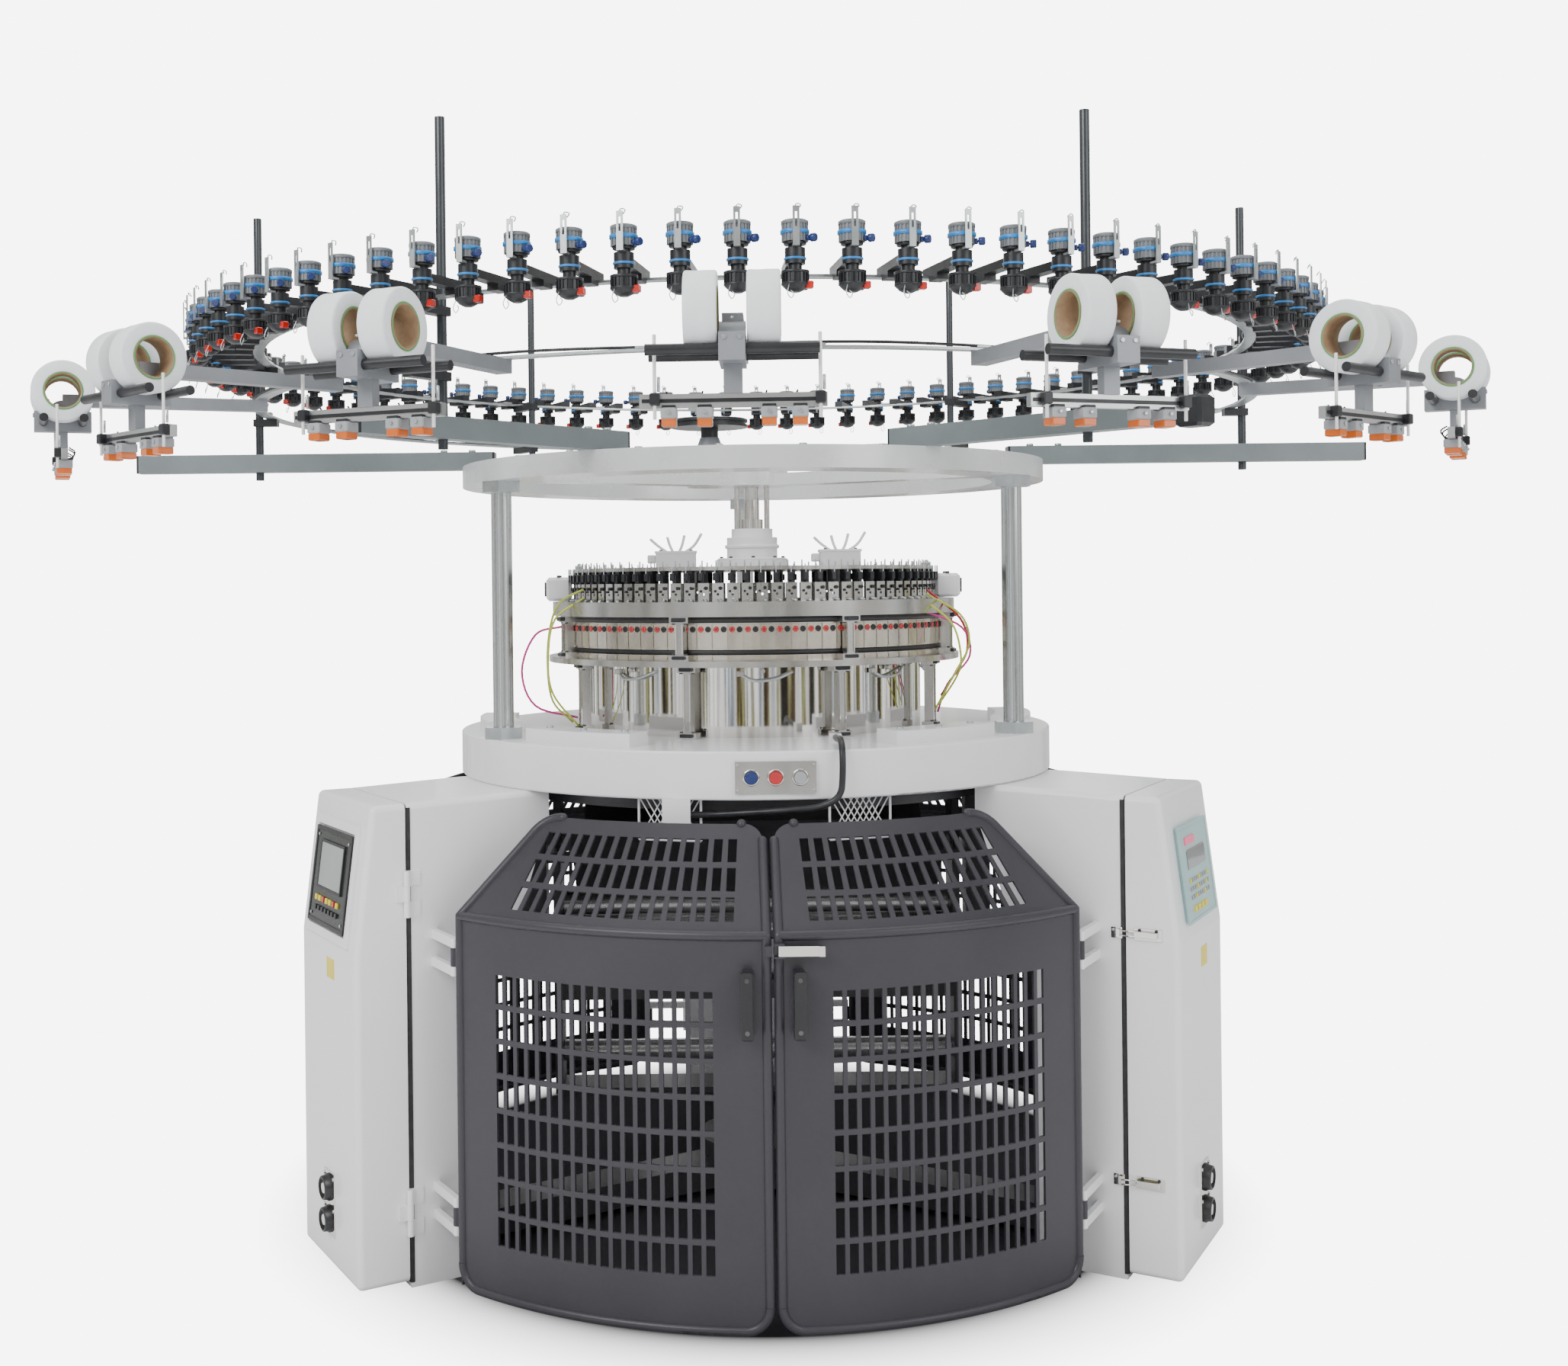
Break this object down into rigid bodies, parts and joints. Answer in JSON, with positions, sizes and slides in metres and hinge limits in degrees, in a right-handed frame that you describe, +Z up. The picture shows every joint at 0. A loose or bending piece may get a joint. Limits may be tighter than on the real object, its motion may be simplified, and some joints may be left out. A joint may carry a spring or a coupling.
{
  "type": "circular knitting machine",
  "caption": "Floor-standing circular knitting machine: three box legs, round bed, chromed cylinder head, slotted safety gates and a ring creel of yarn feeders with spool units.",
  "frame": {"origin": "on the floor under the vertical axis of the cylinder", "axes": "+Z up along the cylinder axis, the front gates and control plate face -Y, +X to the right seen from the front"},
  "size_m": [3.1882, 3.0874, 2.45],
  "materials": {
    "white_paint": "satin",
    "ring_paint": "satin silver-white",
    "gate_grey": "satin moulded",
    "chrome": "mirror",
    "steel": "ground",
    "zinc": "zinc plated",
    "black_plastic": "satin",
    "grey_plastic": "satin",
    "cast_grey": "hammered",
    "beam_grey": "satin",
    "black_tube": "satin",
    "dark_frame": "satin",
    "aluminium": "anodised",
    "yarn": "wound filament",
    "cardboard": "spiral wound board",
    "screen": "glossy",
    "teal_panel": "membrane",
    "blue_button": "glossy",
    "red_button": "glossy",
    "grey_button": "glossy",
    "rubber": "matt"
  },
  "bodies": {
    "frame": {"actuator_boxes": "white_paint", "base_spider": "dark_frame", "bed_blocks": "white_paint", "bed_plate": "white_paint", "button_plate": "steel", "cam_rim": "steel", "cam_ring": "steel", "carrier_holders": "black_plastic", "control_conduit": "rubber", "creel_beams": "beam_grey", "creel_posts": "black_tube", "dial_drum": "chrome", "dial_plate": "steel", "feeder_bodies": "black_plastic", "feeder_brackets": "zinc", "feeder_pulleys": "grey_plastic", "feeder_rail": "zinc", "feeder_wheels": "black_plastic", "hub": "white_paint", "hub_shafts": "chrome", "leg_left": "white_paint", "leg_rear": "white_paint", "leg_right": "white_paint", "lower_brackets": "chrome", "lower_rail": "zinc", "main_posts": "zinc", "post_nuts": "zinc", "pulley_pedestal": "cast_grey", "rail_clamps": "black_plastic", "sensor_boxes": "grey_plastic", "spandex_arms": "cast_grey", "spandex_rails": "aluminium", "spandex_rods": "black_tube", "spool_cores": "cardboard", "steel_ring": "steel", "top_ring": "ring_paint", "upper_brackets": "chrome", "yarn_carriers": "steel", "yarn_spools": "yarn"},
    "cover_left": {"cover_left": "white_paint", "screen_left": "screen"},
    "cover_right": {"cover_right": "white_paint", "panel_right": "teal_panel"},
    "cover_rear": {"cover_rear": "white_paint"},
    "gate_latch": {"gate_latch": "chrome"},
    "rotor": {"needle_cylinder": "steel", "takedown_frame": "dark_frame"},
    "takedown_roller": {"takedown_roller": "steel"},
    "pressure_roller": {"pressure_roller": "steel"},
    "cloth_roller": {"cloth_roller": "steel"},
    "belt_drive": {"drive_pulleys": "black_tube"},
    "start_button": {"start_button": "blue_button"},
    "stop_button": {"stop_button": "red_button"},
    "inch_button": {"inch_button": "grey_button"},
    "gate_front_l": {"gate_front_l": "gate_grey"},
    "gate_front_r": {"gate_front_r": "gate_grey"},
    "gate_side_right_l": {"gate_side_right_l": "gate_grey"},
    "gate_side_right_r": {"gate_side_right_r": "gate_grey"},
    "gate_side_left_l": {"gate_side_left_l": "gate_grey"},
    "gate_side_left_r": {"gate_side_left_r": "gate_grey"}
  },
  "joints": [
    {"name": "cover_left_hinge", "type": "hinge", "parent": "frame", "child": "cover_left", "pos_m": [-0.77137, -0.66994, 0.5], "axis": [0, 0, -1], "range_deg": [-95, 0]},
    {"name": "cover_right_hinge", "type": "hinge", "parent": "frame", "child": "cover_right", "pos_m": [0.96587, -0.33306, 0.5], "axis": [0, 0, -1], "range_deg": [-95, 0]},
    {"name": "cover_rear_hinge", "type": "hinge", "parent": "frame", "child": "cover_rear", "pos_m": [-0.1945, 1.003, 0.5], "axis": [0, 0, -1], "range_deg": [-95, 0]},
    {"name": "gate_front_r_hinge", "type": "hinge", "parent": "frame", "child": "gate_front_r", "pos_m": [0.66249, -0.73162, 0.45], "axis": [0, 0, 1], "range_deg": [0, 95]},
    {"name": "gate_front_l_hinge", "type": "hinge", "parent": "frame", "child": "gate_front_l", "pos_m": [-0.66249, -0.73162, 0.45], "axis": [0, 0, -1], "range_deg": [0, 95]},
    {"name": "gate_side_right_r_hinge", "type": "hinge", "parent": "frame", "child": "gate_side_right_r", "pos_m": [0.30236, 0.93955, 0.45], "axis": [0, 0, 1], "range_deg": [0, 95]},
    {"name": "gate_side_right_l_hinge", "type": "hinge", "parent": "frame", "child": "gate_side_right_l", "pos_m": [0.96485, -0.20792, 0.45], "axis": [0, 0, -1], "range_deg": [0, 95]},
    {"name": "gate_side_left_r_hinge", "type": "hinge", "parent": "frame", "child": "gate_side_left_r", "pos_m": [-0.96485, -0.20792, 0.45], "axis": [0, 0, 1], "range_deg": [0, 95]},
    {"name": "gate_side_left_l_hinge", "type": "hinge", "parent": "frame", "child": "gate_side_left_l", "pos_m": [-0.30236, 0.93955, 0.45], "axis": [0, 0, -1], "range_deg": [0, 95]},
    {"name": "gate_latch_pivot", "type": "hinge", "parent": "gate_front_r", "child": "gate_latch", "pos_m": [0.014, -1.007, 0.791], "axis": [0, 0, -1], "range_deg": [0, 100]},
    {"name": "rotor_spin", "type": "hinge", "parent": "frame", "child": "rotor", "pos_m": [0, 0, 0.6], "axis": [0, 0, 1], "continuous": true},
    {"name": "takedown_roller_spin", "type": "hinge", "parent": "rotor", "child": "takedown_roller", "pos_m": [0, 0, 0.64], "axis": [1, 0, 0], "continuous": true},
    {"name": "pressure_roller_spin", "type": "hinge", "parent": "rotor", "child": "pressure_roller", "pos_m": [0, 0.04128, 0.69504], "axis": [1, 0, 0], "continuous": true},
    {"name": "cloth_roller_spin", "type": "hinge", "parent": "rotor", "child": "cloth_roller", "pos_m": [0, 0, 0.33], "axis": [1, 0, 0], "continuous": true},
    {"name": "belt_drive_spin", "type": "hinge", "parent": "frame", "child": "belt_drive", "pos_m": [-0.105, 0, 1.95], "axis": [0, 0, 1], "continuous": true},
    {"name": "start_button_push", "type": "slide", "parent": "frame", "child": "start_button", "axis": [0, 1, 0], "range_m": [0, 0.0023], "stiffness_N_per_m": 800, "springref_m": -0.0005},
    {"name": "stop_button_push", "type": "slide", "parent": "frame", "child": "stop_button", "axis": [0, 1, 0], "range_m": [0, 0.0023], "stiffness_N_per_m": 800, "springref_m": -0.0005},
    {"name": "inch_button_push", "type": "slide", "parent": "frame", "child": "inch_button", "axis": [0, 1, 0], "range_m": [0, 0.0023], "stiffness_N_per_m": 800, "springref_m": -0.0005}
  ],
  "couplings": [
    {"joint": "pressure_roller_spin", "follows": "takedown_roller_spin", "ratio": -1},
    {"joint": "cloth_roller_spin", "follows": "takedown_roller_spin", "ratio": 1.3077},
    {"joint": "belt_drive_spin", "follows": "rotor_spin", "ratio": 4}
  ]
}
